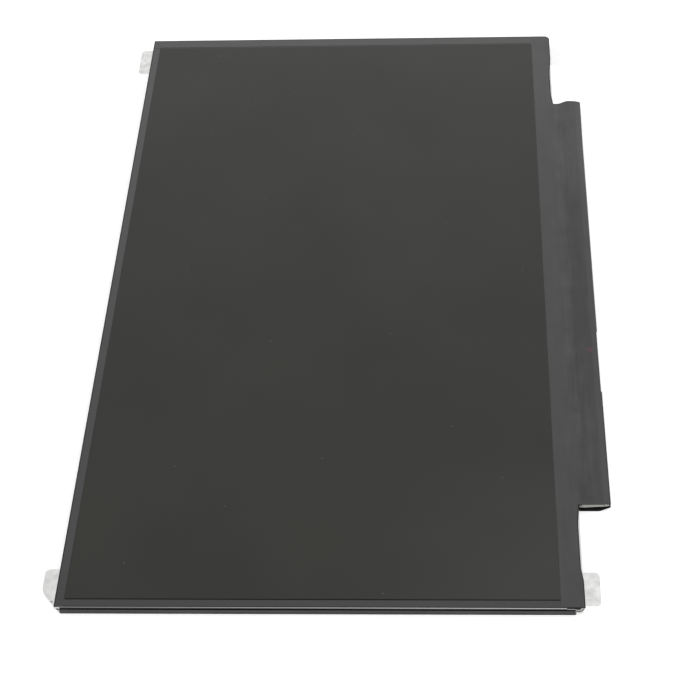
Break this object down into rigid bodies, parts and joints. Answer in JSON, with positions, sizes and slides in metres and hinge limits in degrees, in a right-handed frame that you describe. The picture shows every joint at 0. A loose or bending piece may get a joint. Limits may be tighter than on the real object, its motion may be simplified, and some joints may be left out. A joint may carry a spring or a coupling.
{
  "type": "laptop screen panel",
  "caption": "Slim flat laptop screen panel with a dark anti-glare face, narrow borders, ears at its corners and a control board in a film sleeve along one long side.",
  "frame": {"origin": "on the surface the panel lies on, under the middle of its whole outline", "axes": "+X along the screen's long side, towards the far end in the picture; +Y towards the screen's top edge, away from the control board; +Z out of the screen"},
  "size_m": [0.268, 0.172, 0.0033],
  "materials": {
    "rear_sheet": "satin rolled sheet",
    "frame_plastic": "fine moulded grain",
    "bracket_steel": "bright rolled sheet",
    "reflector_film": "white film",
    "guide_acrylic": "clear polished sheet",
    "diffuser_film": "milky film",
    "prism_film": "finely ribbed film",
    "polarizer_film": "anti-glare film",
    "cell_glass": "thin ground glass with a dark inner mask",
    "black_tape": "satin tape",
    "black_film": "satin film",
    "flex_film": "amber film",
    "board_laminate": "coated laminate with a sawn edge",
    "pad_foam": "pale foam",
    "chip_epoxy": "moulded epoxy",
    "chip_silicon": "ground die",
    "inductor_ferrite": "pressed ferrite",
    "capacitor_body": "fired chip",
    "light_strip": "white solder mask",
    "diode_body": "moulded body with a phosphor face",
    "socket_plastic": "moulded",
    "contact_metal": "gilt",
    "socket_steel": "plated sheet"
  },
  "bodies": {
    "root": {"rear_cover": "rear_sheet", "mould_frame": "frame_plastic", "bracket_top_left": "bracket_steel", "bracket_top_right": "bracket_steel", "bracket_bottom_left": "bracket_steel", "bracket_bottom_right": "bracket_steel", "reflector_sheet": "reflector_film", "light_guide": "guide_acrylic", "lower_diffuser": "diffuser_film", "lower_prism_sheet": "prism_film", "upper_prism_sheet": "prism_film", "upper_diffuser": "diffuser_film", "light_bar_strip": "light_strip", "light_bar_diodes": "diode_body", "cell_tape": "black_tape", "rear_polarizer": "polarizer_film", "array_glass": "cell_glass", "filter_glass": "cell_glass", "front_polarizer": "polarizer_film", "border_tape_top": "black_tape", "border_tape_left": "black_tape", "border_tape_right": "black_tape", "edge_tape_left": "black_tape", "edge_tape_right": "black_tape", "edge_tape_top": "black_tape", "control_board": "board_laminate", "board_end_pad": "pad_foam", "timing_chip": "chip_epoxy", "power_chip": "chip_epoxy", "backlight_chip": "chip_epoxy", "boost_inductor": "inductor_ferrite", "chip_capacitors": "capacitor_body", "light_bar_socket": "socket_plastic", "signal_socket_housing": "socket_plastic", "signal_socket_contacts": "contact_metal", "signal_socket_shell": "socket_steel", "front_film": "black_film", "rear_film": "black_film", "driver_chip_1": "chip_silicon", "flex_tail_1": "flex_film", "driver_chip_2": "chip_silicon", "flex_tail_2": "flex_film", "driver_chip_3": "chip_silicon", "flex_tail_3": "flex_film", "driver_chip_4": "chip_silicon", "flex_tail_4": "flex_film"}
  },
  "joints": []
}
